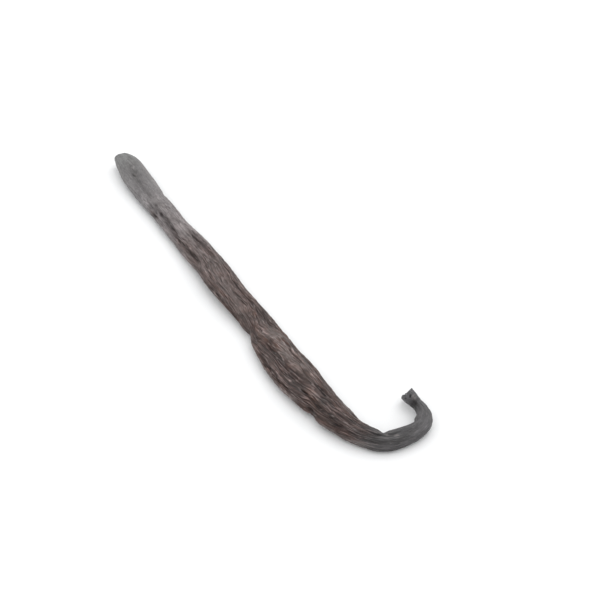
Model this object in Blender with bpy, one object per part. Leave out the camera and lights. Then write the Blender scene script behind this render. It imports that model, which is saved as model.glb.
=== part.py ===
"""A cured vanilla pod with its hooked stem, lying on a table: one leathery solid.

Metres. +X runs from the blossom tip towards the stem, +Y is the side that the stem hooks to and
+Z is up. The pod's pressed belly rests on z = 0, and the origin is under the middle of its outline.
"""

import math

import bmesh
import bpy
from mathutils import Vector, noise

MM = 0.001

# Every station below is in millimetres along the middle line, from the blossom tip.
POD_LENGTH = 171.8
START_HEADING = -3.0  # degrees from +X

# Where the middle line turns: centre of the bend, the length that it takes, turn to the left in degrees.
BENDS = (
    (24.0, 44.0, 5.0),
    (78.0, 34.0, -8.0),
    (110.0, 34.0, 11.0),
    (131.0, 18.0, 12.0),
    (140.0, 9.0, 15.0),
    (146.3, 7.0, 52.0),
    (159.0, 13.0, 99.0),
)

# Station, width, height, gap under the belly (pressed flat where it is negative), sideways shift
# towards +Y, and roll about the middle line in degrees (positive lifts the +Y edge). All but the
# roll are in millimetres.
SECTIONS = (
    (0.0, 4.5, 2.8, 1.5, -0.3, 0.0),
    (1.0, 5.4, 3.1, 1.3, 0.0, 0.0),
    (3.0, 6.8, 3.5, 1.1, 0.2, 1.0),
    (5.5, 7.7, 3.9, 0.8, 0.3, 2.0),
    (9.0, 8.3, 4.2, 0.4, 0.2, 3.0),
    (16.0, 8.4, 4.4, -0.1, 0.1, 4.0),
    (25.0, 7.8, 4.3, -0.3, 0.2, 4.0),
    (34.0, 7.6, 4.3, -0.3, 0.2, 3.0),
    (42.0, 7.8, 4.3, -0.3, 0.0, 2.0),
    (50.0, 8.7, 4.4, -0.2, 0.0, 0.0),
    (60.0, 9.3, 4.3, 0.2, -0.4, -2.0),
    (68.0, 9.4, 4.1, 0.5, -1.1, -4.0),
    (77.0, 9.0, 4.0, 0.5, -1.2, -4.0),
    (84.0, 8.9, 4.2, 0.1, -0.5, -1.0),
    (89.0, 8.7, 4.3, -0.1, 0.2, 0.0),
    (92.0, 8.9, 4.4, -0.2, 0.3, 1.0),
    (97.0, 9.8, 4.7, -0.3, 0.1, 3.0),
    (105.0, 11.0, 5.2, -0.4, 0.1, 5.0),
    (114.0, 11.5, 5.6, -0.4, 0.1, 4.0),
    (120.0, 10.8, 5.6, -0.4, 0.1, 2.0),
    (125.0, 9.6, 5.5, -0.4, 0.2, 1.0),
    (129.0, 9.6, 5.3, -0.4, -0.1, 0.0),
    (135.0, 8.0, 5.0, -0.3, -0.2, 0.0),
    (141.0, 6.2, 4.6, -0.2, -0.2, 0.0),
    (146.0, 5.4, 4.4, -0.2, 0.0, 0.0),
    (151.0, 5.4, 4.4, -0.2, 0.0, 0.0),
    (154.0, 4.9, 4.3, -0.1, 0.2, 0.0),
    (157.0, 4.5, 4.2, 0.0, 0.4, 0.0),
    (160.0, 4.7, 4.1, 0.2, 0.25, 0.0),
    (163.0, 3.7, 3.8, 0.4, -0.3, 0.0),
    (165.5, 3.4, 3.6, 0.7, -0.4, 0.0),
    (168.0, 3.5, 3.5, 1.0, -0.35, 0.0),
    (171.8, 3.9, 3.6, 1.2, -0.35, 0.0),
)
SQUARENESS = 2.4  # 2 is a plain oval, and more is boxier

# The sunken upper face amidships: where it starts and ends, the length over which it does so, how
# deep it lies under its rims, and how far it spreads, as a share of the section's half width.
TROUGH = (54.0, 96.0)
TROUGH_FADE = (12.0, 10.0)
TROUGH_DEPTH, TROUGH_SPREAD = 0.9, 0.55
TROUGH_RIM = 0.4  # the share of the half height over which it fades out at the section's sides

# The long furrows of the shrunken skin: station and angle round the section at either end, depth
# and half width. 0 degrees is the +Y edge, 90 the top, 180 the -Y edge. Angles in degrees.
FURROWS = (
    (7.0, 27.0, 96.0, 102.0, 0.35, 1.0),
    (26.0, 46.0, 112.0, 122.0, 0.7, 0.8),
    (40.0, 62.0, 140.0, 130.0, 0.6, 0.7),
    (44.0, 62.0, 76.0, 66.0, 0.6, 0.7),
    (68.0, 90.0, 164.0, 168.0, 0.6, 0.6),
    (68.0, 96.0, 60.0, 64.0, 0.6, 0.7),
    (84.0, 100.0, 112.0, 146.0, 0.7, 0.8),
    (98.0, 122.0, 113.0, 106.0, 1.3, 1.2),
    (102.0, 121.0, 150.0, 156.0, 0.9, 0.7),
    (112.0, 129.0, 74.0, 80.0, 1.0, 0.7),
    (118.0, 136.0, 119.0, 122.0, 0.9, 0.7),
    (124.0, 144.0, 95.0, 100.0, 0.8, 0.6),
    (128.0, 148.0, 132.0, 146.0, 0.8, 0.7),
    (132.0, 148.0, 80.0, 88.0, 0.5, 0.6),
    (146.0, 158.0, 92.0, 104.0, 0.35, 0.7),
    (161.0, 169.0, 36.0, 52.0, 0.45, 0.7),
    (100.0, 140.0, 34.0, 40.0, 0.5, 0.8),
    (10.0, 52.0, 206.0, 218.0, 0.6, 0.9),
    (18.0, 72.0, 330.0, 340.0, 0.6, 0.9),
    (54.0, 88.0, 214.0, 206.0, 0.5, 0.9),
    (92.0, 138.0, 206.0, 212.0, 0.6, 0.9),
    (84.0, 132.0, 336.0, 328.0, 0.6, 0.9),
)
FURROW_FADE = 4.0  # millimetres over which a furrow starts and ends

# Pinches at the edges: station, angle, depth, half length along the pod and half width round it.
PINCHES = (
    (24.5, 0.0, 0.3, 1.8, 2.0),
    (92.5, 180.0, 0.9, 2.0, 2.0),
    (127.0, 186.0, 0.8, 1.5, 2.0),
    (146.3, 0.0, 1.1, 1.3, 2.2),
    (158.0, 0.0, 0.5, 1.3, 1.8),
    (165.5, 0.0, 0.5, 2.0, 1.8),
)

# The skin's slow unevenness, and the length at the tip over which it sets in.
LUMP_LENGTH, LUMP_WIDTH, LUMP_HEIGHT = 11.0, 3.2, 0.28
LUMP_FADE = 6.0

# The stem's end: the most that its slant takes off, the angle where it does, the length that the
# slant spreads over, shallow rings sunk in the end (depth, share of its size), how much of the
# slant they share, and the split in the rim.
END_SLANT, SLANT_ANGLE, SLANT_LENGTH = 2.6, 60.0, 7.0
SCAR_RINGS = ((0.15, 0.62), (0.5, 0.34))
SCAR_SLANT = 0.9
SPLIT_ANGLE, SPLIT_WIDTH, SPLIT_DEPTH = 51.0, 14.0, 0.6

ROUND = 36  # points round a section
TIP_STATIONS = (0.0, 0.5, 1.1)
BODY_STEP, HOOK_STEP = 1.55, 0.95  # distance between sections
HOOK_START = 136.0

SKIN_COLOUR = (0.055, 0.038, 0.032, 1.0)
SKIN_ROUGHNESS = 0.42
SHARP_ANGLE = 50.0  # edges that turn by more stay sharp


def ease(share):
    """0 to 1 with a gentle start and end."""
    share = min(1.0, max(0.0, share))
    return share * share * (3 - 2 * share)


def heading(station):
    """The middle line's direction at a station, in radians from +X."""
    turned = sum(turn * ease((station - centre) / length + 0.5) for centre, length, turn in BENDS)
    return math.radians(START_HEADING + turned)


def middle_line(stations, step=0.05):
    """The middle line's points at rising stations, found by walking along it."""
    points = []
    at, walked = Vector((0.0, 0.0)), 0.0
    for station in stations:
        while walked < station:
            stride = min(step, station - walked)
            way = heading(walked + stride / 2)
            at += stride * Vector((math.cos(way), math.sin(way)))
            walked += stride
        points.append(at.copy())
    return points


def section(station):
    """Width, height, gap, shift and roll at a station, on a smooth curve through SECTIONS."""
    last = len(SECTIONS) - 2
    i = min(last, max(0, sum(row[0] <= station for row in SECTIONS) - 1))
    start, end = SECTIONS[i], SECTIONS[i + 1]
    before, after = SECTIONS[max(0, i - 1)], SECTIONS[min(last + 1, i + 2)]
    span = end[0] - start[0]
    t = (station - start[0]) / span
    values = []
    for column in range(1, len(start)):
        slope_in = (end[column] - before[column]) / (end[0] - before[0]) * span
        slope_out = (after[column] - start[column]) / (after[0] - start[0]) * span
        rise = end[column] - start[column]
        values.append(
            start[column]
            + slope_in * t
            + (3 * rise - 2 * slope_in - slope_out) * t**2
            + (slope_in + slope_out - 2 * rise) * t**3
        )
    return values


def bump(distance, half_width):
    """1 on a line or spot, falling to nearly 0 at twice its half width."""
    return math.exp(-((distance / half_width) ** 2))


def apart(angle, other):
    """The difference of two angles in degrees, from -180 to 180."""
    return (angle - other + 180.0) % 360.0 - 180.0


def relief(station, angle, girth):
    """How far the skin stands out of the plain section, in millimetres. It is mostly negative."""
    per_degree = girth / 360.0
    out = 0.0
    for start, end, angle_in, angle_out, depth, half_width in FURROWS:
        share = (station - start) / (end - start)
        fade = ease((station - start) / FURROW_FADE) * ease((end - station) / FURROW_FADE)
        if fade > 0:
            line = angle_in + (angle_out - angle_in) * share
            out -= depth * fade * bump(apart(angle, line) * per_degree, half_width)
    for centre, line, depth, half_length, half_width in PINCHES:
        across = bump(apart(angle, line) * per_degree, half_width)
        out -= depth * bump(station - centre, half_length) * across
    turn = math.radians(angle)
    skin = girth / (2 * math.pi) / LUMP_WIDTH
    lump = Vector((station / LUMP_LENGTH, skin * math.cos(turn), skin * math.sin(turn)))
    return out + LUMP_HEIGHT * noise.noise(lump) * ease(station / LUMP_FADE)


def rounded(value):
    """A cosine or sine, pushed outwards to make the section boxier."""
    return math.copysign(abs(value) ** (2 / SQUARENESS), value)


def ring(station, shrink=1.0):
    """One section's points as (sideways, up) in millimetres, counter-clockwise from the +Y edge."""
    width, height, gap, shift, roll = section(station)
    girth = math.pi * (width + height) / 2
    middle = gap + height / 2
    tilt = math.radians(roll)
    sunk = TROUGH_DEPTH * ease((station - TROUGH[0]) / TROUGH_FADE[0])
    sunk *= ease((TROUGH[1] - station) / TROUGH_FADE[1])
    points = []
    for k in range(ROUND):
        angle = 360.0 * k / ROUND
        turn = math.radians(angle)
        side, up = rounded(math.cos(turn)), rounded(math.sin(turn))
        out = relief(station, angle, girth)
        y = shrink * side * (width / 2 + out)
        z = shrink * up * (height / 2 + out)
        if up > 0:
            z -= shrink * sunk * bump(side, TROUGH_SPREAD) * ease(up / TROUGH_RIM)
        y, z = y * math.cos(tilt) - z * math.sin(tilt), y * math.sin(tilt) + z * math.cos(tilt)
        points.append((shift + y, max(0.0, middle + z)))
    return points


def stations():
    """The sections' stations: close together at the nose, in the hook and at the stem's end."""
    found = list(TIP_STATIONS)
    while found[-1] < POD_LENGTH - HOOK_STEP:
        found.append(found[-1] + (BODY_STEP if found[-1] < HOOK_START else HOOK_STEP))
    return [*found[:-1], POD_LENGTH]


def placed(origin, station, points, forward):
    """Points of a section, set upright across the middle line, as vectors in metres."""
    way = heading(station)
    along = Vector((math.cos(way), math.sin(way), 0.0))
    left = Vector((-along.y, along.x, 0.0))
    start = Vector((origin.x, origin.y, 0.0))
    return [
        MM * (start + left * y + Vector((0.0, 0.0, z)) + along * ahead)
        for (y, z), ahead in zip(points, forward)
    ]


def forward_of(station):
    """How far each point of a section stands forward: the stem's end slants and is split."""
    share = ease((station - POD_LENGTH) / SLANT_LENGTH + 1)
    found = []
    for k in range(ROUND):
        angle = 360.0 * k / ROUND
        slant = END_SLANT * (1 + math.cos(math.radians(angle - SLANT_ANGLE))) / 2
        slant += SPLIT_DEPTH * bump(apart(angle, SPLIT_ANGLE), SPLIT_WIDTH)
        found.append(-slant * share)
    return found


def pod_mesh():
    """The whole pod: sections joined from tip to stem, a blunt scar at the tip and one at the end."""
    along = stations()
    line = middle_line(along)
    shape = bmesh.new()
    rings = []
    for station, origin in zip(along, line):
        points = placed(origin, station, ring(station), forward_of(station))
        rings.append([shape.verts.new(p) for p in points])
    for depth, size in SCAR_RINGS:
        forward = [SCAR_SLANT * ahead - depth for ahead in forward_of(POD_LENGTH)]
        inner = placed(line[-1], POD_LENGTH, ring(POD_LENGTH, size), forward)
        rings.append([shape.verts.new(p) for p in inner])
    for first, second in zip(rings, rings[1:]):
        for k in range(ROUND):
            after = (k + 1) % ROUND
            shape.faces.new((first[k], first[after], second[after], second[k]))
    for end in (rings[0], rings[-1]):
        edges = [e for e in shape.edges if e.verts[0] in end and e.verts[1] in end]
        bmesh.ops.triangle_fill(shape, edges=edges, use_beauty=True)
    bmesh.ops.recalc_face_normals(shape, faces=shape.faces)
    low = Vector([min(v.co[axis] for v in shape.verts) for axis in range(3)])
    high = Vector([max(v.co[axis] for v in shape.verts) for axis in range(3)])
    middle = (low + high) / 2
    bmesh.ops.translate(shape, verts=shape.verts, vec=(-middle.x, -middle.y, 0.0))
    mesh = bpy.data.meshes.new("vanilla_pod")
    shape.to_mesh(mesh)
    shape.free()
    return mesh


def pod_skin():
    """Oily, near-black brown skin."""
    material = bpy.data.materials.new("pod_skin")
    material.use_nodes = True
    shader = material.node_tree.nodes["Principled BSDF"]
    shader.inputs["Base Color"].default_value = SKIN_COLOUR
    shader.inputs["Roughness"].default_value = SKIN_ROUGHNESS
    shader.inputs["Metallic"].default_value = 0.0
    return material


def clear_scene():
    for thing in list(bpy.data.objects):
        bpy.data.objects.remove(thing)


def main():
    clear_scene()
    mesh = pod_mesh()
    mesh.materials.append(pod_skin())
    mesh.shade_smooth()
    mesh.set_sharp_from_angle(angle=math.radians(SHARP_ANGLE))
    pod = bpy.data.objects.new("vanilla_pod", mesh)
    bpy.context.scene.collection.objects.link(pod)


main()
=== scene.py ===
"""A cured vanilla pod with its hooked stem: wrinkled, oily, near-black skin.

The pod's own tables are in millimetres and degrees, and everything else is in metres. A place on
the skin is given by its station, the distance from the blossom tip along the pod, and by its angle
round the pod there: 0 is the side that the stem hooks to, 90 the top and 270 the belly.
"""

import math

import bmesh
import bpy
import numpy as np
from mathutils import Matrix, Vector, noise


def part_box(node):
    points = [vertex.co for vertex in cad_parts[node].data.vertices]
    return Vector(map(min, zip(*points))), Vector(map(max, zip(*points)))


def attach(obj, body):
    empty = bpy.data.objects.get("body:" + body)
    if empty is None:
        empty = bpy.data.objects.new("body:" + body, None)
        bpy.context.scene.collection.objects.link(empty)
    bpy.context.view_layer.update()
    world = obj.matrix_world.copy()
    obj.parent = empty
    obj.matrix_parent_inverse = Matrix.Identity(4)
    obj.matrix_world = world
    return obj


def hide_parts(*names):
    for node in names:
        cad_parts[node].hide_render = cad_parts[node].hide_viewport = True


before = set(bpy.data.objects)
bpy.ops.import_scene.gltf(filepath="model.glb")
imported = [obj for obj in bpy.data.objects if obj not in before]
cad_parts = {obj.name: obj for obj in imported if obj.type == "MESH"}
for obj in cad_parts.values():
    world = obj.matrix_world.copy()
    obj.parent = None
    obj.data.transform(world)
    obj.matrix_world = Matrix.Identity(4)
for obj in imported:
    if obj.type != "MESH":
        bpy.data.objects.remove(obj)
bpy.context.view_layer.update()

MM = 0.001
NODE = "vanilla_pod"

# ---------------------------------------------------------------- the pod's plan and sections

POD_LENGTH = 171.8
START_HEADING = -3.0

# Where the middle line turns: centre of the bend, the length that it takes, turn to the left.
BENDS = (
    (24.0, 44.0, 5.0),
    (78.0, 34.0, -8.0),
    (110.0, 34.0, 11.0),
    (131.0, 18.0, 12.0),
    (140.0, 9.0, 15.0),
    (146.3, 7.0, 52.0),
    (159.0, 13.0, 99.0),
)

# Station, width, height, gap under the belly (pressed flat where it is negative), sideways shift
# towards the hook's side, and roll (positive lifts the hook's side).
SECTIONS = np.array((
    (0.0, 4.5, 2.8, 1.5, -0.3, 0.0),
    (1.0, 5.4, 3.1, 1.3, 0.0, 0.0),
    (3.0, 6.8, 3.5, 1.1, 0.2, 1.0),
    (5.5, 7.7, 3.9, 0.8, 0.3, 2.0),
    (9.0, 8.3, 4.2, 0.4, 0.2, 3.0),
    (16.0, 8.4, 4.4, -0.1, 0.1, 4.0),
    (25.0, 7.8, 4.3, -0.3, 0.2, 4.0),
    (34.0, 7.6, 4.3, -0.3, 0.2, 3.0),
    (42.0, 7.8, 4.3, -0.3, 0.0, 2.0),
    (50.0, 8.7, 4.4, -0.2, 0.0, 0.0),
    (60.0, 9.3, 4.3, 0.2, -0.4, -2.0),
    (68.0, 9.4, 4.1, 0.5, -1.1, -4.0),
    (77.0, 9.0, 4.0, 0.5, -1.2, -4.0),
    (84.0, 8.9, 4.2, 0.1, -0.5, -1.0),
    (89.0, 8.7, 4.3, -0.1, 0.2, 0.0),
    (92.0, 8.9, 4.4, -0.2, 0.3, 1.0),
    (97.0, 9.8, 4.7, -0.3, 0.1, 3.0),
    (105.0, 11.0, 5.2, -0.4, 0.1, 5.0),
    (114.0, 11.5, 5.6, -0.4, 0.1, 4.0),
    (120.0, 10.8, 5.6, -0.4, 0.1, 2.0),
    (125.0, 9.6, 5.5, -0.4, 0.2, 1.0),
    (129.0, 9.6, 5.3, -0.4, -0.1, 0.0),
    (135.0, 8.0, 5.0, -0.3, -0.2, 0.0),
    (141.0, 6.2, 4.6, -0.2, -0.2, 0.0),
    (146.0, 5.4, 4.4, -0.2, 0.0, 0.0),
    (151.0, 5.4, 4.4, -0.2, 0.0, 0.0),
    (154.0, 4.9, 4.3, -0.1, 0.2, 0.0),
    (157.0, 4.5, 4.2, 0.0, 0.4, 0.0),
    (160.0, 4.7, 4.1, 0.2, 0.25, 0.0),
    (163.0, 3.7, 3.8, 0.4, -0.3, 0.0),
    (165.5, 3.4, 3.6, 0.7, -0.4, 0.0),
    (168.0, 3.5, 3.5, 1.0, -0.35, 0.0),
    (171.8, 3.9, 3.6, 1.2, -0.35, 0.0),
))
SQUARENESS = 2.4  # 2 is a plain oval, and more is boxier
ROUND_STEM = (146.0, 156.0)  # from boxy to plainly oval between these stations

EVEN_WIDTH, EVEN_HEIGHT = 9.4, 5.0  # the pod of even size that the fine wrinkles are laid out on

ROUND = 24  # points round the cage
BODY_STEP, HOOK_STEP, HOOK_START = 3.5, 2.0, 136.0
LEVELS = 3

# The sunken upper face amid ship: where it starts and ends, over how long, how deep and how wide.
TROUGH = (54.0, 96.0)
TROUGH_FADE = (12.0, 10.0)
TROUGH_DEPTH, TROUGH_WIDTH = 0.9, 0.55

# The stem's end: rings from its rim inwards (depth and share of its size), its slant and the angle
# where that takes most off, the split in its rim, and the scars in it (place towards the hook's
# side and up, half width, depth).
END_RINGS = ((0.0, 0.93), (0.0, 0.7), (0.0, 0.4))
END_SLANT, SLANT_ANGLE, SLANT_LENGTH = 2.6, 60.0, 7.0
SPLIT_ANGLE, SPLIT_WIDTH, SPLIT_DEPTH = 51.0, 12.0, 0.45
END_SCARS = ((0.85, 1.05, 0.45, 0.7), (0.3, 0.5, 0.5, 0.45), (1.55, 0.3, 0.5, -0.4), (-0.7, 0.1, 0.6, 0.3))

# ---------------------------------------------------------------- folds, furrows and pits

# Furrows and creases: station and angle at either end, depth and half width. The broad ones come
# first, then the creases on the tip, above the middle, round the middle and towards the neck, and
# last those of the underside.
FURROWS = (
    (7.0, 27.0, 96.0, 102.0, 0.35, 1.0),
    (26.0, 46.0, 112.0, 122.0, 0.5, 0.7),
    (40.0, 62.0, 140.0, 130.0, 0.5, 0.5),
    (44.0, 62.0, 76.0, 66.0, 0.5, 0.5),
    (68.0, 90.0, 164.0, 168.0, 0.6, 0.5),
    (68.0, 96.0, 60.0, 64.0, 0.6, 0.5),
    (84.0, 100.0, 112.0, 146.0, 0.5, 0.6),
    (98.0, 122.0, 113.0, 106.0, 0.9, 1.3),
    (102.0, 121.0, 150.0, 156.0, 0.5, 0.4),
    (112.0, 129.0, 74.0, 80.0, 0.4, 0.35),
    (118.0, 136.0, 119.0, 122.0, 0.4, 0.4),
    (124.0, 144.0, 95.0, 100.0, 0.35, 0.35),
    (128.0, 148.0, 132.0, 146.0, 0.45, 0.4),
    (132.0, 148.0, 80.0, 88.0, 0.3, 0.35),
    (146.0, 158.0, 92.0, 104.0, 0.3, 0.7),
    (164.0, 169.0, 40.0, 62.0, 0.25, 0.5),
    (100.0, 140.0, 34.0, 40.0, 0.5, 0.8),
    (10.6, 13.8, 112.0, 95.0, 0.3, 0.25),
    (10.2, 12.8, 90.0, 86.0, 0.15, 0.25),
    (5.5, 11.0, 124.0, 128.0, 0.12, 0.4),
    (14.0, 24.0, 128.0, 118.0, 0.15, 0.3),
    (9.0, 20.0, 62.0, 66.0, 0.2, 0.4),
    (30.0, 34.8, 164.0, 150.0, 0.4, 0.45),
    (31.0, 35.4, 117.0, 122.0, 0.3, 0.3),
    (38.8, 47.6, 120.0, 123.0, 0.35, 0.3),
    (42.2, 49.4, 130.0, 141.0, 0.35, 0.28),
    (43.2, 48.8, 138.0, 146.0, 0.3, 0.25),
    (46.2, 49.8, 117.0, 107.0, 0.35, 0.3),
    (40.2, 44.2, 65.0, 66.0, 0.2, 0.3),
    (46.8, 50.6, 77.0, 73.0, 0.3, 0.28),
    (48.2, 53.4, 71.0, 67.0, 0.3, 0.28),
    (50.0, 60.0, 145.0, 116.0, 0.35, 0.35),
    (49.0, 59.0, 92.0, 84.0, 0.35, 0.4),
    (83.0, 92.0, 118.0, 150.0, 0.25, 0.3),
    (86.0, 94.0, 106.0, 132.0, 0.25, 0.3),
    (84.0, 87.4, 68.0, 62.0, 0.25, 0.25),
    (90.0, 94.6, 72.0, 66.0, 0.3, 0.25),
    (95.4, 98.4, 142.0, 104.0, 0.4, 0.3),
    (99.4, 104.8, 113.0, 97.0, 0.4, 0.3),
    (103.4, 110.6, 152.0, 162.0, 0.4, 0.4),
    (112.4, 119.8, 152.0, 164.0, 0.45, 0.4),
    (113.0, 119.2, 75.0, 78.0, 0.25, 0.25),
    (118.4, 127.6, 71.0, 80.0, 0.5, 0.3),
    (119.0, 124.6, 119.0, 117.0, 0.35, 0.3),
    (124.4, 127.8, 90.0, 92.0, 0.35, 0.28),
    (124.2, 127.8, 152.0, 158.0, 0.5, 0.5),
    (128.4, 138.0, 110.0, 106.0, 0.35, 0.3),
    (131.0, 141.0, 152.0, 150.0, 0.35, 0.4),
    (137.0, 146.4, 108.0, 98.0, 0.4, 0.3),
    (138.0, 146.8, 122.0, 112.0, 0.4, 0.3),
    (140.0, 147.0, 90.0, 84.0, 0.3, 0.3),
    (10.0, 52.0, 206.0, 218.0, 0.6, 0.9),
    (18.0, 72.0, 330.0, 340.0, 0.6, 0.9),
    (54.0, 88.0, 214.0, 206.0, 0.5, 0.9),
    (92.0, 138.0, 206.0, 212.0, 0.6, 0.9),
    (84.0, 132.0, 336.0, 328.0, 0.6, 0.9),
)
FURROW_FADE = 4.0  # a furrow starts and ends over this length, or over this share if it is short
SHORT_FADE = 0.4

# Small pits, and knobs where the depth is negative: station, angle, depth, half length and half
# width. The last ones make the ragged end of the stem.
PITS = (
    (28.6, 106.0, 0.35, 0.5, 0.3),
    (29.2, 131.0, 0.2, 0.6, 0.4),
    (33.2, 117.0, 0.3, 0.7, 0.3),
    (32.2, 158.0, 0.35, 1.1, 0.5),
    (36.2, 110.0, 0.3, 0.9, 0.35),
    (49.8, 103.0, 0.3, 0.6, 0.3),
    (109.5, 132.0, 0.25, 0.7, 0.4),
    (126.2, 156.0, 0.35, 0.8, 0.5),
    (30.6, 122.0, 0.3, 0.7, 0.3),
    (31.8, 134.0, 0.3, 0.9, 0.3),
    (34.6, 128.0, 0.35, 1.1, 0.3),
    (37.6, 122.0, 0.3, 0.8, 0.3),
    (47.8, 113.0, 0.22, 1.7, 0.2),
    (51.2, 120.0, 0.35, 1.4, 0.3),
    (53.0, 96.0, 0.3, 1.3, 0.3),
    (166.2, 60.0, 0.25, 0.9, 2.4),
    (170.3, 20.0, -0.3, 0.8, 0.7),
    (170.4, 22.0, 0.6, 0.35, 0.3),
    (170.0, 62.0, 0.45, 0.5, 0.4),
    (168.2, 84.0, 0.25, 0.4, 0.5),
    (168.4, 70.0, -0.15, 0.5, 0.4),
    (150.0, 100.0, -0.15, 1.0, 0.9),
)

# How far the fine wrinkles wind round the pod by each station.
LAY = np.array((
    (0.0, 0.0), (82.0, 0.0), (92.0, 28.0), (96.0, 24.0), (99.0, 6.0), (105.0, -4.0), (120.0, -12.0),
    (142.0, -34.0), (171.8, -34.0),
))

# The fine wrinkles: raised strands and, between them, sunken streaks. For each, how many run
# side by side round the pod, how wide one is, how long its runs are, and the noise's seed.
STRANDS = ((38, 0.1, 5.0, 3.0), (54, 0.08, 3.0, 8.0))
STREAKS = ((30, 0.13, 6.0, 15.0), (46, 0.11, 3.2, 21.0))
RAISED_SHARE = 0.5  # how far the skin between the strands sinks, so that the pod stays as thick
STRAND_PITCH = 360.0 / 36  # how far, in degrees, the wrinkles wander round the pod

# Darker, browner patches, and paler ones where the last number is negative: station and angle at
# either end, half width and strength. The darker ones are stains, but for one painted shadow under a
# fold; the paler ones are painted light, but for the last, the paler rough skin at the stem's end.
STAINS_AND_PAINTED_LIGHT = (
    (92.0, 98.0, 60.0, 58.0, 0.8, 0.7),
    (94.0, 101.0, 112.0, 104.0, 0.9, 0.8),
    (102.0, 109.0, 150.0, 146.0, 0.8, 0.8),
    (106.0, 123.0, 112.0, 110.0, 1.1, 1.0),
    (111.0, 119.0, 158.0, 164.0, 0.6, 0.8),
    (119.0, 130.0, 108.0, 128.0, 1.0, 0.6),
    (122.0, 136.0, 132.0, 140.0, 1.5, 0.7),
    # Painted shadow under the fold at station 127, not a stain.
    (124.0, 128.5, 165.0, 160.0, 0.8, 0.9),
    (27.0, 36.0, 160.0, 150.0, 1.2, 0.6),
    (44.0, 62.0, 140.0, 128.0, 1.5, 0.5),
    # The paler rows from here on are painted light, all but the last: painted sheen on the lit right edge
    # and on the top, the floor's painted reflection along the left flank, and a painted glint on the neck.
    (93.0, 121.0, 82.0, 78.0, 1.6, -0.75),
    (110.0, 137.0, 36.0, 40.0, 1.5, -0.55),
    (96.0, 114.0, 134.0, 136.0, 0.9, -0.35),
    (4.0, 54.0, 36.0, 34.0, 0.9, -0.9),
    (2.0, 16.0, 160.0, 162.0, 0.7, -0.6),
    (20.0, 50.0, 96.0, 92.0, 1.6, -0.45),
    (88.0, 124.0, 182.0, 180.0, 1.1, -0.8),
    (128.0, 146.0, 184.0, 184.0, 1.1, -0.6),
    (148.4, 150.4, 96.0, 102.0, 0.35, -1.0),
    # The paler rough skin at the stem's end: its own colour, not light.
    (165.8, 170.6, 80.0, 84.0, 0.8, -0.8),
)

# Pinches at the edges: station, angle, depth, half length and half width.
PINCHES = (
    (24.5, 0.0, 0.3, 1.8, 2.0),
    (92.5, 180.0, 0.9, 2.0, 2.0),
    (127.0, 186.0, 0.8, 1.5, 2.0),
    (146.3, 0.0, 1.1, 1.3, 2.2),
    (158.0, 0.0, 0.5, 1.3, 1.8),
    (165.5, 0.0, 0.5, 2.0, 1.8),
)

# How strongly the skin is wrinkled along the pod: station, height of the folds a few millimetres
# wide, of the raised strands, of the sunken streaks, and of the mottled bumps.
WRINKLING = np.array((
    (0.0, 0.03, 0.00, 0.02, 0.03),
    (10.0, 0.08, 0.00, 0.03, 0.04),
    (24.0, 0.12, 0.01, 0.04, 0.05),
    (30.0, 0.18, 0.04, 0.10, 0.09),
    (40.0, 0.20, 0.07, 0.13, 0.08),
    (52.0, 0.20, 0.13, 0.18, 0.05),
    (60.0, 0.18, 0.13, 0.20, 0.04),
    (72.0, 0.18, 0.13, 0.20, 0.04),
    (84.0, 0.16, 0.15, 0.22, 0.06),
    (96.0, 0.16, 0.16, 0.24, 0.08),
    (120.0, 0.15, 0.16, 0.26, 0.06),
    (140.0, 0.15, 0.15, 0.22, 0.04),
    (148.0, 0.14, 0.06, 0.08, 0.05),
    (156.0, 0.07, 0.01, 0.03, 0.06),
    (165.0, 0.05, 0.01, 0.04, 0.07),
    (171.8, 0.05, 0.02, 0.04, 0.12),
))

# ---------------------------------------------------------------- shaping


def ease(share):
    """0 to 1 with a gentle start and end."""
    share = np.clip(share, 0.0, 1.0)
    return share * share * (3 - 2 * share)


def heading(station):
    """The middle line's direction at a station, in radians from +X."""
    turned = sum(turn * ease((station - centre) / length + 0.5) for centre, length, turn in BENDS)
    return np.radians(START_HEADING + turned)


def smooth_rows(rows, station):
    """Each column of a table at these stations, on a smooth curve through its rows."""
    station = np.atleast_1d(station)
    at = rows[:, 0]
    i = np.clip(np.searchsorted(at, station, side="right") - 1, 0, len(at) - 2)
    slopes = np.gradient(rows, at, axis=0)
    for edge in (0, -1):
        slopes[edge] = slopes[edge] / 2
    span = (at[i + 1] - at[i])[:, None]
    t = ((station - at[i]) / span[:, 0])[:, None]
    rise = rows[i + 1] - rows[i]
    begin, end = slopes[i] * span, slopes[i + 1] * span
    values = rows[i] + begin * t + (3 * rise - 2 * begin - end) * t**2 + (begin + end - 2 * rise) * t**3
    return values[:, 1:].T


def bump(distance, half_width):
    """1 on a line or spot, falling to nearly 0 at twice its half width."""
    return np.exp(-((distance / half_width) ** 2))


def apart(angle, other):
    """The difference of two angles in degrees, from -180 to 180."""
    return (angle - other + 180.0) % 360.0 - 180.0


def select_none():
    bpy.ops.object.select_all(action="DESELECT")


def cage_stations():
    """The cage's rings: close together at the nose and in the hook."""
    body = np.arange(5.5, HOOK_START, BODY_STEP)
    hook = np.linspace(HOOK_START, POD_LENGTH, round((POD_LENGTH - HOOK_START) / HOOK_STEP) + 1)
    return np.concatenate([[0.0, 0.15, 0.8, 2.0, 3.5], body, hook])


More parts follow.
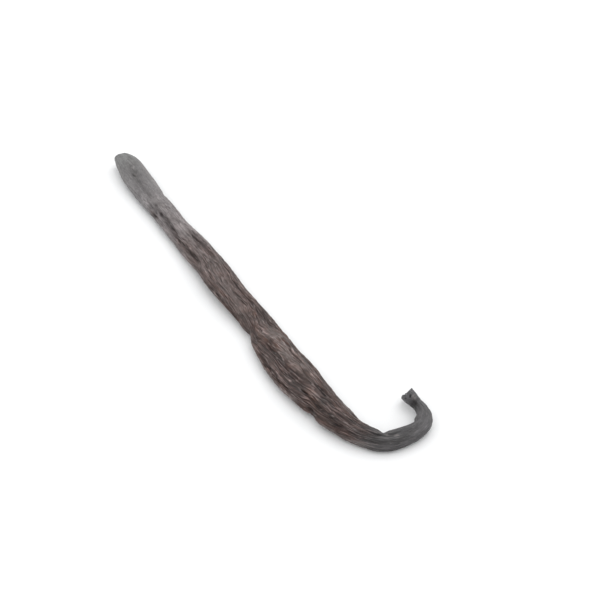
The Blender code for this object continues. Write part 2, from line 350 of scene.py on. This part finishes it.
def straight_cage():
    """The pod pulled straight along X: its tip's scar, then ring after ring out to the stem's end."""
    stations = cage_stations()
    widths, heights, gaps, shifts, _ = smooth_rows(SECTIONS, stations) * MM
    middles = gaps + heights / 2
    select_none()
    bpy.ops.mesh.primitive_circle_add(
        vertices=ROUND, radius=0.5, fill_type="NGON", rotation=(math.pi / 2, 0, math.pi / 2)
    )
    pod = bpy.context.object
    pod.name = pod.data.name = "vanilla_pod_skin"
    bpy.ops.object.transform_apply(location=True, rotation=True, scale=True)
    for vertex in pod.data.vertices:
        for axis in (1, 2):
            share = 2 * vertex.co[axis]
            vertex.co[axis] = math.copysign(abs(share) ** (2 / SQUARENESS), share) / 2
    bpy.ops.object.mode_set(mode="EDIT")
    bpy.ops.mesh.select_all(action="SELECT")
    bpy.ops.transform.resize(value=(1, widths[0], heights[0]), center_override=(0, 0, 0))
    bpy.ops.transform.translate(value=(0, shifts[0], middles[0]))
    for i in range(1, len(stations)):
        along = (stations[i] - stations[i - 1]) * MM
        step = (along, shifts[i] - shifts[i - 1], middles[i] - middles[i - 1])
        centre = (stations[i] * MM, shifts[i], middles[i])
        bpy.ops.mesh.extrude_region_move(TRANSFORM_OT_translate={"value": step})
        grow = (1, widths[i] / widths[i - 1], heights[i] / heights[i - 1])
        bpy.ops.transform.resize(value=grow, center_override=centre)
    share = 1.0
    for depth, size in END_RINGS:
        bpy.ops.mesh.extrude_region_move()
        bpy.ops.transform.resize(value=(1, size / share, size / share), center_override=centre)
        bpy.ops.transform.translate(value=(-depth * MM, 0, 0))
        share = size
    bpy.ops.mesh.select_all(action="SELECT")
    bpy.ops.mesh.normals_make_consistent(inside=False)
    bpy.ops.object.mode_set(mode="OBJECT")
    modifier = pod.modifiers.new("Smooth", "SUBSURF")
    modifier.levels = modifier.render_levels = LEVELS
    bpy.ops.object.modifier_apply(modifier=modifier.name)
    return pod


def points_of(pod):
    points = np.empty(len(pod.data.vertices) * 3, np.float32)
    pod.data.vertices.foreach_get("co", points)
    return points.reshape(-1, 3).astype(float)


def set_points(pod, points):
    pod.data.vertices.foreach_set("co", points.astype(np.float32).ravel())
    pod.data.update()


def normals_of(pod):
    normals = np.empty(len(pod.data.vertices) * 3, np.float32)
    pod.data.vertices.foreach_get("normal", normals)
    return normals.reshape(-1, 3).astype(float)


def places(points):
    """Station, angle and share of the section's half sizes of points on the straight pod, in mm."""
    station = np.clip(points[:, 0], 0.0, POD_LENGTH)
    width, height, gap, shift, roll = smooth_rows(SECTIONS, station)
    side = (points[:, 1] - shift) / (width / 2)
    up = (points[:, 2] - gap - height / 2) / (height / 2)
    cosine = np.sign(side) * np.abs(side) ** (SQUARENESS / 2)
    sine = np.sign(up) * np.abs(up) ** (SQUARENESS / 2)
    return station, np.degrees(np.arctan2(sine, cosine)) % 360.0, side, up


def grain(points, size, seed=0.0):
    """Smooth noise from -1 to 1 whose features are this long, wide and high."""
    scaled = points / np.asarray(size) + seed
    return np.array([noise.noise(Vector(p)) for p in scaled.tolist()]) * 1.6


def strands(station, angle, wander, count, half_width, run, seed):
    """1 along lines side by side round the pod, each of which comes and goes by itself."""
    phase = ((angle + wander * STRAND_PITCH) / 360.0 * count) % count
    line = np.round(phase)
    off = (phase - line) * 360.0 / count * per_degree(station)
    line %= count
    there = grain(np.column_stack([station / run + 3.7 * line, 5.3 * line, 0.0 * line]), 1.0, seed)
    return ease(0.45 + 1.8 * there) * bump(off, half_width)


def per_degree(station):
    """Millimetres of skin to a degree round the pod."""
    width, height, _, _, _ = smooth_rows(SECTIONS, station)
    return math.pi * (width + height) / 2 / 360.0


def stroke(station, angle, start, end, angle_in, angle_out):
    """How strong a stroke along the skin is at each place's station, and how far off the place lies."""
    share = (station - start) / (end - start)
    fade = min(FURROW_FADE, SHORT_FADE * (end - start))
    strength = ease((station - start) / fade) * ease((end - station) / fade)
    line = angle_in + (angle_out - angle_in) * share
    return strength, apart(angle, line) * per_degree(station)


def press_furrows(station, angle):
    """How far the furrows, the pits and the pinches lower the skin, in millimetres."""
    out = np.zeros(len(station))
    for start, end, angle_in, angle_out, depth, half_width in FURROWS:
        strength, off = stroke(station, angle, start, end, angle_in, angle_out)
        out -= depth * strength * np.exp(-np.abs(off / half_width) ** 1.5)
    for centre, line, depth, half_length, half_width in PITS + PINCHES:
        across = bump(apart(angle, line) * per_degree(station), half_width)
        out -= depth * bump(station - centre, half_length) * across
    return out


def stain_and_light_at(station, angle):
    """How much darker and browner the skin is, from stains and a painted shadow, up to 1, and how much
    paler, from painted light and the stem end's paler skin, down to -1.
    """
    stain = np.zeros(len(station))
    for start, end, angle_in, angle_out, half_width, strength in STAINS_AND_PAINTED_LIGHT:
        fade, off = stroke(station, angle, start, end, angle_in, angle_out)
        stain += strength * fade * bump(off, half_width)
    return np.clip(stain, -1.0, 1.0)


def wound(station, angle):
    """Places on a pod of even size, wound so that lines along it follow the fine wrinkles, and
    their angles."""
    lain = (angle - np.interp(station, LAY[:, 0], LAY[:, 1])) % 360.0
    turn = np.radians(lain)
    across, above = EVEN_WIDTH / 2 * np.cos(turn), EVEN_HEIGHT / 2 * np.sin(turn)
    return np.column_stack([station, across, above]), lain


def shape_pod(pod):
    """Presses the trough, the furrows and the wrinkles into the straight pod."""
    points = points_of(pod) / MM
    station, angle, side, up = places(points)
    out = press_furrows(station, angle)
    sunk = TROUGH_DEPTH * ease((station - TROUGH[0]) / TROUGH_FADE[0])
    sunk *= ease((TROUGH[1] - station) / TROUGH_FADE[1])
    sunk *= bump(side, TROUGH_WIDTH) * ease(up / 0.4)
    width, height, _, _, _ = smooth_rows(SECTIONS, station)
    oval = ease((station - ROUND_STEM[0]) / (ROUND_STEM[1] - ROUND_STEM[0]))
    oval *= np.minimum(1.0, np.hypot(side, up) ** 2)
    turn = np.radians(angle)
    shaped = points.copy()
    shaped[:, 1] += side * out + oval * (np.cos(turn) - side) * width / 2
    shaped[:, 2] += up * out + oval * (np.sin(turn) - up) * height / 2 - sunk
    set_points(pod, shaped * MM)

    even, lain = wound(station, angle)
    wander = 0.9 * grain(even, (22.0, 2.8, 2.8), 40.0) + 0.2 * grain(even, (3.4, 1.3, 1.3), 47.0)
    patch = 0.35 + 0.65 * ease(0.5 + 1.2 * grain(even, (9.0, 2.4, 2.4), 61.0))
    fold, crest, crease, mottle = smooth_rows(WRINKLING, station)
    folds = fold * grain(even, (9.0, 1.9, 1.9), 3.0)
    raised = patch * np.max([strands(station, lain, wander, *row) for row in STRANDS], axis=0)
    sunken = patch * np.max([strands(station, lain, wander, *row) for row in STREAKS], axis=0)
    bumps = mottle * grain(even, (1.1, 0.7, 0.7), 23.0)
    rise = folds + crest * (raised - RAISED_SHARE) - crease * sunken + bumps
    shaped += normals_of(pod) * rise[:, None]
    set_points(pod, shaped * MM)
    shown = ease(crease / 0.2)
    set_vector(pod, "skin", wound(station, angle + wander * STRAND_PITCH)[0])
    # Layers for the finish: the ridges, laid lighter and greyer as a painted highlight, the valleys and
    # furrows, laid darker as painted shade, and the stains with painted light and shadow among them.
    set_float(pod, "ridge", raised * (1 - sunken) * shown)
    set_float(pod, "valley", np.clip(sunken * shown - 1.8 * out - bumps, 0.0, 1.0))
    set_float(pod, "stain", stain_and_light_at(station, angle))


def settle(pod):
    """Rolls each section, slants the stem's end, and presses the belly flat on the table."""
    points = points_of(pod) / MM
    station, angle, side, up = places(points)
    _, height, gap, shift, roll = smooth_rows(SECTIONS, station)
    tilt = np.radians(roll)
    middle = gap + height / 2
    y, z = points[:, 1] - shift, points[:, 2] - middle
    points[:, 1] = shift + y * np.cos(tilt) - z * np.sin(tilt)
    points[:, 2] = np.maximum(0.0, middle + y * np.sin(tilt) + z * np.cos(tilt))
    lean = math.radians(SLANT_ANGLE)
    slant = END_SLANT * (1 + side * math.cos(lean) + up * math.sin(lean)) / 2
    slant += SPLIT_DEPTH * bump(apart(angle, SPLIT_ANGLE), SPLIT_WIDTH) * np.hypot(side, up)
    points[:, 0] -= slant * ease((station - POD_LENGTH + SLANT_LENGTH) / SLANT_LENGTH)
    face = station > POD_LENGTH - 0.2
    for across, above, half_width, depth in END_SCARS:
        away = np.hypot(y - across, z - above)
        points[face, 0] -= (depth * bump(away, half_width))[face]
    set_points(pod, points * MM)


def bend(pod, step=0.25):
    """Lays the straight pod along its middle line, and sets it where the frame has it."""
    stations = np.arange(0.0, POD_LENGTH + step, step)
    way = heading(stations[:-1] + step / 2)
    line = np.zeros((len(stations), 2))
    line[1:] = np.cumsum(step * np.stack([np.cos(way), np.sin(way)], axis=1), axis=0)
    points = points_of(pod) / MM
    x = points[:, 0]
    turn = heading(x)
    along = np.stack([np.cos(turn), np.sin(turn)], axis=1)
    left = np.stack([-np.sin(turn), np.cos(turn)], axis=1)
    start = np.stack([np.interp(x, stations, line[:, k]) for k in (0, 1)], axis=1)
    start += along * np.minimum(x, 0.0)[:, None]
    laid = np.column_stack([start + left * points[:, 1:2], points[:, 2]])
    low, high = (np.array(corner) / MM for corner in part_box(NODE))
    laid[:, :2] += ((low + high) / 2)[:2] - (laid.min(axis=0) + laid.max(axis=0))[:2] / 2
    set_points(pod, laid * MM)


def set_vector(pod, name, values):
    layer = pod.data.attributes.new(name, "FLOAT_VECTOR", "POINT")
    layer.data.foreach_set("vector", values.astype(np.float32).ravel())


def set_float(pod, name, values):
    layer = pod.data.attributes.new(name, "FLOAT", "POINT")
    layer.data.foreach_set("value", values.astype(np.float32))


# ---------------------------------------------------------------- materials


class Wire:
    """An output socket of a material's node. Arithmetic on wires adds Math nodes."""

    def __init__(self, finish, socket):
        self.finish = finish
        self.socket = socket

    def maths(self, operation, first, second):
        return self.finish.node("ShaderNodeMath", {"operation": operation}, {0: first, 1: second})

    def __add__(self, other):
        return self.maths("ADD", self, other)

    def __sub__(self, other):
        return self.maths("SUBTRACT", self, other)

    def __rsub__(self, other):
        return self.maths("SUBTRACT", other, self)

    def __mul__(self, other):
        return self.maths("MULTIPLY", self, other)

    def __pow__(self, other):
        return self.maths("POWER", self, other)

    __radd__ = __add__
    __rmul__ = __mul__


class Finish:
    """A material, and the one way that nodes are added to it."""

    def __init__(self, name):
        self.material = bpy.data.materials.new(name)
        self.material.use_nodes = True
        self.tree = self.material.node_tree
        self.shader = self.tree.nodes["Principled BSDF"]

    def node(self, kind, settings=None, inputs=None, output=0):
        """A new node's output. Settings are set first: a ramp's stops, or the node's own settings."""
        made = self.tree.nodes.new(kind)
        for name, value in (settings or {}).items():
            if name == "stops":
                self.set_stops(made.color_ramp, value)
            else:
                setattr(made, name, value)
        for name, value in (inputs or {}).items():
            self.feed(made.inputs[name], value)
        return Wire(self, made.outputs[output])

    def feed(self, socket, value):
        if isinstance(value, Wire):
            self.tree.links.new(value.socket, socket)
        else:
            socket.default_value = value

    def set_stops(self, ramp, stops):
        while len(ramp.elements) < len(stops):
            ramp.elements.new(1.0)
        for element, (position, colour) in zip(ramp.elements, stops):
            element.position = position
            element.color = (*colour, 1.0)

    def mix(self, factor, first, second, blend="MIX"):
        """A blend of two colours."""
        settings = {"data_type": "RGBA", "blend_type": blend}
        return self.node("ShaderNodeMix", settings, {0: factor, 6: first, 7: second}, output=2)


def between(finish, value, low, high):
    """0 below low, 1 above high, and smooth between."""
    settings = {"interpolation_type": "SMOOTHSTEP"}
    return finish.node("ShaderNodeMapRange", settings, {"Value": value, "From Min": low, "From Max": high})


def pod_finish():
    """Oily skin: brown-black, greyer towards the tip and charcoal at the stem, with painted highlights laid
    lighter and greyer on its ridges and fine threads, and painted shade laid darker in its valleys, furrows
    and fine grooves.
    """
    finish = Finish("pod_skin")

    def layer(name, output=2):
        return finish.node("ShaderNodeAttribute", {"attribute_name": name}, output=output)

    def noisy(size, detail=2.0, roughness=0.5):
        scaled = finish.node("ShaderNodeVectorMath", {"operation": "DIVIDE"}, {0: skin, 1: size})
        inputs = {"Vector": scaled, "Scale": 1.0, "Detail": detail, "Roughness": roughness}
        return finish.node("ShaderNodeTexNoise", None, inputs)

    def ridged(size):
        scaled = finish.node("ShaderNodeVectorMath", {"operation": "DIVIDE"}, {0: skin, 1: size})
        inputs = {"Vector": scaled, "Scale": 1.0, "Detail": 2.0, "Roughness": 0.6, "Offset": 1.0}
        return finish.node("ShaderNodeTexNoise", {"noise_type": "RIDGED_MULTIFRACTAL"}, inputs)

    skin = layer("skin", 1)
    parts = finish.node("ShaderNodeSeparateXYZ", None, {0: skin})
    station = Wire(finish, parts.socket.node.outputs[0])
    wrinkled = between(finish, station, 25.0, 95.0) * (1.0 - between(finish, station, 136.0, 146.0))
    stops = (
        (0.0, (0.13, 0.134, 0.131)),
        (0.05, (0.125, 0.122, 0.122)),
        (0.12, (0.15, 0.143, 0.145)),
        (0.25, (0.165, 0.147, 0.148)),
        (0.35, (0.092, 0.07, 0.066)),
        (0.5, (0.056, 0.037, 0.032)),
        (0.6, (0.047, 0.027, 0.022)),
        (0.8, (0.037, 0.021, 0.018)),
        (0.83, (0.045, 0.043, 0.044)),
        (0.88, (0.046, 0.045, 0.047)),
        (0.925, (0.066, 0.064, 0.067)),
        (0.955, (0.046, 0.045, 0.047)),
        (0.98, (0.062, 0.061, 0.065)),
        (1.0, (0.062, 0.061, 0.065)),
    )
    base = finish.node("ShaderNodeValToRGB", {"stops": stops}, {0: station * (1 / POD_LENGTH)})
    brown = between(finish, noisy((11.0, 1.6, 1.6), 3.0, 0.6), 0.46, 0.62)
    base = finish.mix(brown * wrinkled * 0.75, base, (0.055, 0.024, 0.015, 1.0))
    stain = layer("stain")
    stain_and_shadow = between(finish, stain, 0.0, 1.0)
    sheen_and_pale_skin = between(finish, stain * -1.0, 0.0, 1.0)
    # Darker and browner: stains, and the painted shadow under the fold.
    base = finish.mix(stain_and_shadow * 0.9, base, (0.036, 0.015, 0.007, 1.0))
    # Paler: painted sheen, painted reflection and a painted glint, and the paler rough skin at the stem's
    # end.
    base = finish.mix(sheen_and_pale_skin * 0.5, base, (0.17, 0.155, 0.15, 1.0))
    # Painted shade: the tint that darkens the valleys, furrows and fine grooves, grey on the tip and the
    # stem and browner where the skin is wrinkled.
    shade = finish.mix(wrinkled, (0.28, 0.26, 0.26, 1.0), (0.38, 0.23, 0.17, 1.0))
    base = finish.mix(layer("valley") * 0.9, base, shade, "MULTIPLY")
    # Painted highlight on the ridges, partly their greyer skin: laid lighter and greyer.
    base = finish.mix(layer("ridge") * (0.2 + 0.4 * wrinkled), base, (0.24, 0.18, 0.17, 1.0))
    smooth_stem = between(finish, station, 148.0, 155.0)
    creased = between(finish, station, 16.0, 60.0)
    patchy = 0.7 + 0.6 * between(finish, noisy((9.0, 2.2, 2.2)), 0.42, 0.58)
    some = (0.3 + 0.4 * creased + 0.4 * wrinkled) * patchy * (1.0 - sheen_and_pale_skin * 0.4) * (1.0 - smooth_stem * 0.75)
    broad = 0.3 + 0.4 * creased
    clouds = noisy((5.0, 2.0, 2.0))
    grooves = ridged((8.0, 0.7, 0.7))
    threads = ridged((6.0, 0.5, 0.5))
    mottled = noisy((0.9, 0.45, 0.45), 3.0, 0.65)
    groove_shade = between(finish, grooves, 1.15, 1.45)
    thread_highlight = between(finish, threads, 1.22, 1.5)
    base = finish.mix(between(finish, clouds, 0.55, 0.38) * broad, base, (0.72, 0.69, 0.68, 1.0), "MULTIPLY")
    base = finish.mix(between(finish, clouds, 0.48, 0.64) * broad, base, (1.4, 1.38, 1.38, 1.0), "MULTIPLY")
    # Painted shade in the fine grooves.
    base = finish.mix(groove_shade * some, base, shade, "MULTIPLY")
    # Painted highlight along the fine threads: lighter, then greyer.
    base = finish.mix(thread_highlight * some * (0.8 - stain_and_shadow * 0.4), base, (2.3, 2.28, 2.3, 1.0), "MULTIPLY")
    base = finish.mix(thread_highlight * some * (0.35 - stain_and_shadow * 0.2), base, (0.22, 0.2, 0.195, 1.0))
    base = finish.mix(between(finish, mottled, 0.5, 0.38) * 0.5, base, (0.62, 0.6, 0.59, 1.0), "MULTIPLY")
    base = finish.mix(between(finish, mottled, 0.52, 0.64) * 0.5, base, (1.45, 1.43, 1.42, 1.0), "MULTIPLY")
    finish.feed(finish.shader.inputs["Base Color"], base)
    finish.shader.inputs["Specular IOR Level"].default_value = 0.35
    gloss = 0.36 + 0.2 * noisy((5.0, 2.0, 2.0))
    finish.feed(finish.shader.inputs["Roughness"], gloss)
    grainy = 0.4 * noisy((0.35, 0.25, 0.25), 3.0, 0.6) + (thread_highlight - groove_shade) * some
    relief = finish.node(
        "ShaderNodeBump", None, {"Strength": 0.6, "Distance": 0.0001, "Height": grainy}
    )
    finish.feed(finish.shader.inputs["Normal"], relief)
    return finish.material


def plain_finish(name, colour, roughness):
    finish = Finish(name)
    finish.feed(finish.shader.inputs["Base Color"], colour)
    finish.feed(finish.shader.inputs["Roughness"], roughness)
    return finish.material


# ---------------------------------------------------------------- the pod


def make_pod():
    pod = straight_cage()
    shape_pod(pod)
    settle(pod)
    bend(pod)
    pod.data.materials.append(pod_finish())
    select_none()
    pod.select_set(True)
    bpy.ops.object.shade_smooth()
    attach(pod, "root")
    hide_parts(NODE)
    return pod


# ---------------------------------------------------------------- the studio

CAMERA_TARGET = Vector((10.15, 8.8, 0.0)) * MM
CAMERA_AZIMUTH, CAMERA_ELEVATION, CAMERA_DISTANCE = 60.5, 40.0, 443.6 * MM
CAMERA_LENS = 95.4


def toward(azimuth, elevation):
    """The direction from the pod to a camera or light. Azimuth 0 stands on the -Y side."""
    a, e = math.radians(azimuth), math.radians(elevation)
    return Vector((math.sin(a) * math.cos(e), -math.cos(a) * math.cos(e), math.sin(e)))


def make_camera():
    camera = bpy.data.objects.new("Camera", bpy.data.cameras.new("Camera"))
    bpy.context.scene.collection.objects.link(camera)
    way = toward(CAMERA_AZIMUTH, CAMERA_ELEVATION)
    camera.location = CAMERA_TARGET + CAMERA_DISTANCE * way
    camera.rotation_euler = (-way).to_track_quat("-Z", "Y").to_euler()
    camera.data.lens = CAMERA_LENS
    bpy.context.scene.camera = camera


def make_light(name, azimuth, elevation, distance, size, power):
    data = bpy.data.lights.new(name, "AREA")
    data.shape = "DISK"
    data.size = size
    data.energy = power
    light = bpy.data.objects.new(name, data)
    bpy.context.scene.collection.objects.link(light)
    way = toward(azimuth, elevation)
    light.location = way * distance
    light.rotation_euler = (-way).to_track_quat("-Z", "Y").to_euler()


def make_studio():
    """A white table under a soft sky, with one large soft light behind the pod on its hook's side."""
    select_none()
    bpy.ops.mesh.primitive_plane_add(size=8.0, location=(0, 0, -0.02 * MM))
    table = bpy.context.object
    table.name = "table"
    table.data.materials.append(plain_finish("white_table", (0.79, 0.795, 0.8, 1.0), 0.9))
    world = bpy.data.worlds.new("World")
    world.use_nodes = True
    background = world.node_tree.nodes["Background"]
    background.inputs["Color"].default_value = (1.0, 1.0, 1.0, 1.0)
    background.inputs["Strength"].default_value = 1.3
    bpy.context.scene.world = world
    make_light("back_light", 195.0, 50.0, 1.1, 1.6, 3.2)
    bpy.context.scene.view_settings.view_transform = "Standard"


make_camera()
make_pod()
make_studio()
